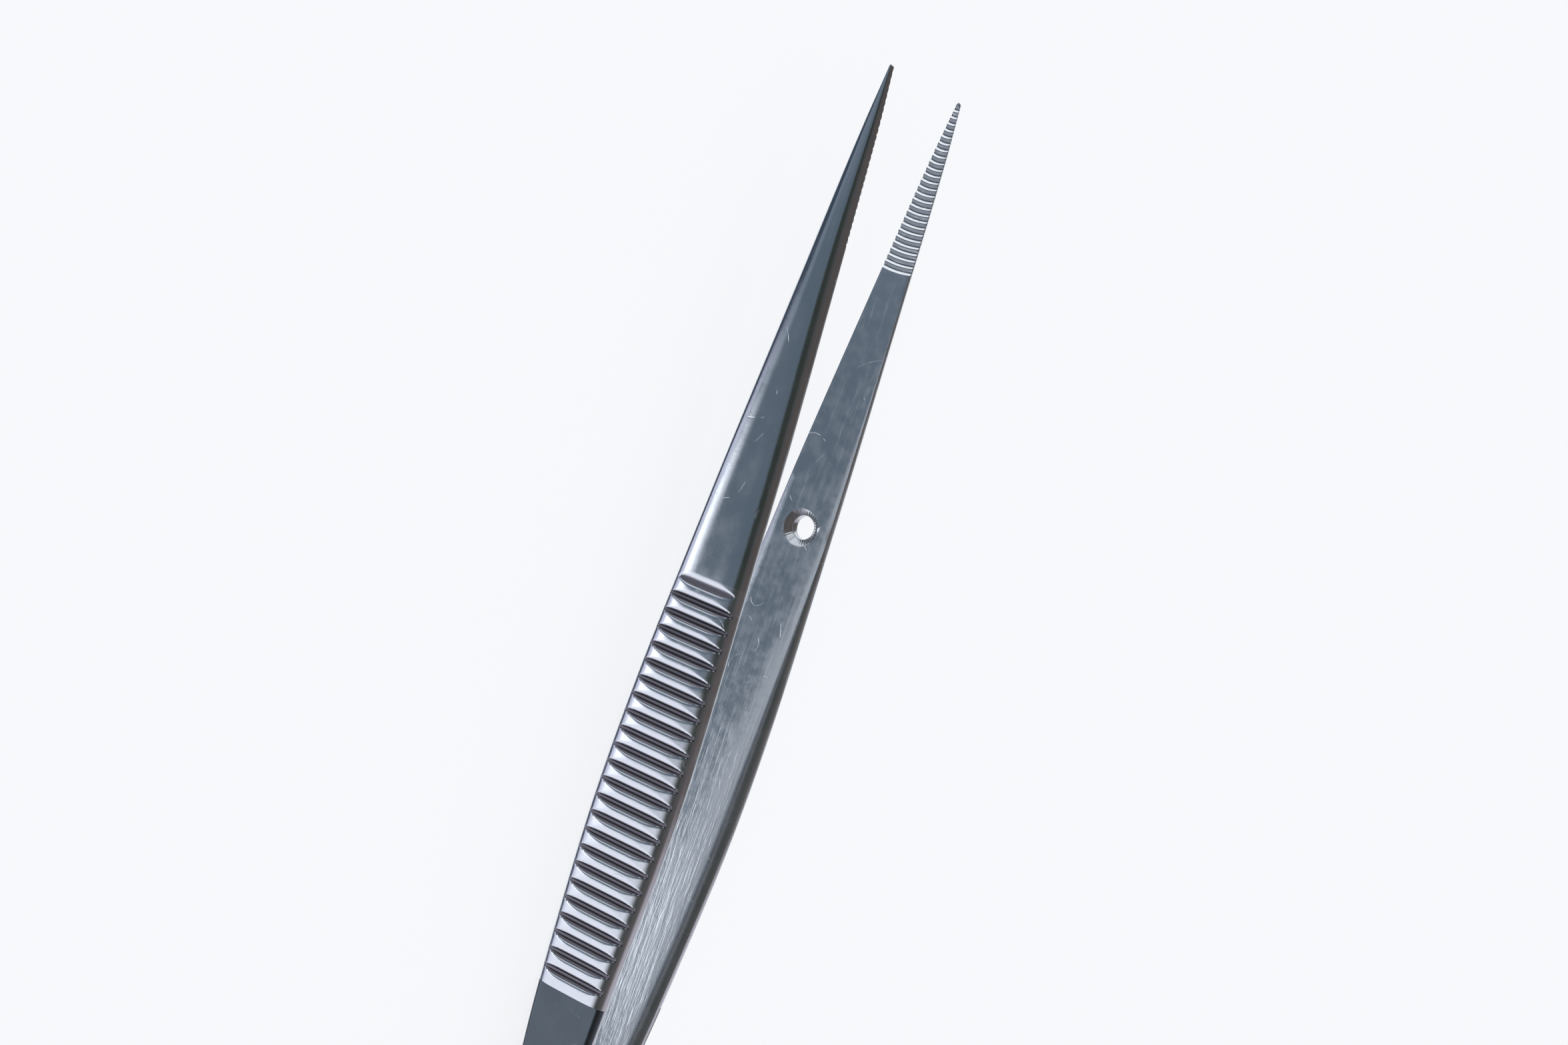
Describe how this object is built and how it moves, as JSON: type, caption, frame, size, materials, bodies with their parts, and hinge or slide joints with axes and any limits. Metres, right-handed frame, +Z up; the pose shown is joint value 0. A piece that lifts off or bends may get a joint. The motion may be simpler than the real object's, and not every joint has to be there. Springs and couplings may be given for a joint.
{
  "type": "thumb forceps",
  "caption": "Fine-pointed sprung steel thumb forceps with serrated jaws, ribbed finger grips, and a guide pin facing a countersunk hole in the other limb.",
  "frame": {"origin": "centre of the footprint, on the surface that the forceps lie on, on their side", "axes": "+X along the forceps to the tips, +Y across the opening from the hole limb to the pin limb, +Z up, across the limbs' width"},
  "size_m": [0.12, 0.0132, 0.0083],
  "materials": {
    "limb_steel": "satin ground inner faces, polished backs and finger ribs",
    "pin_steel": "fine turned"
  },
  "bodies": {
    "root": {"hole_limb": "limb_steel", "pin_limb": "limb_steel", "guide_pin": "pin_steel"}
  },
  "joints": []
}
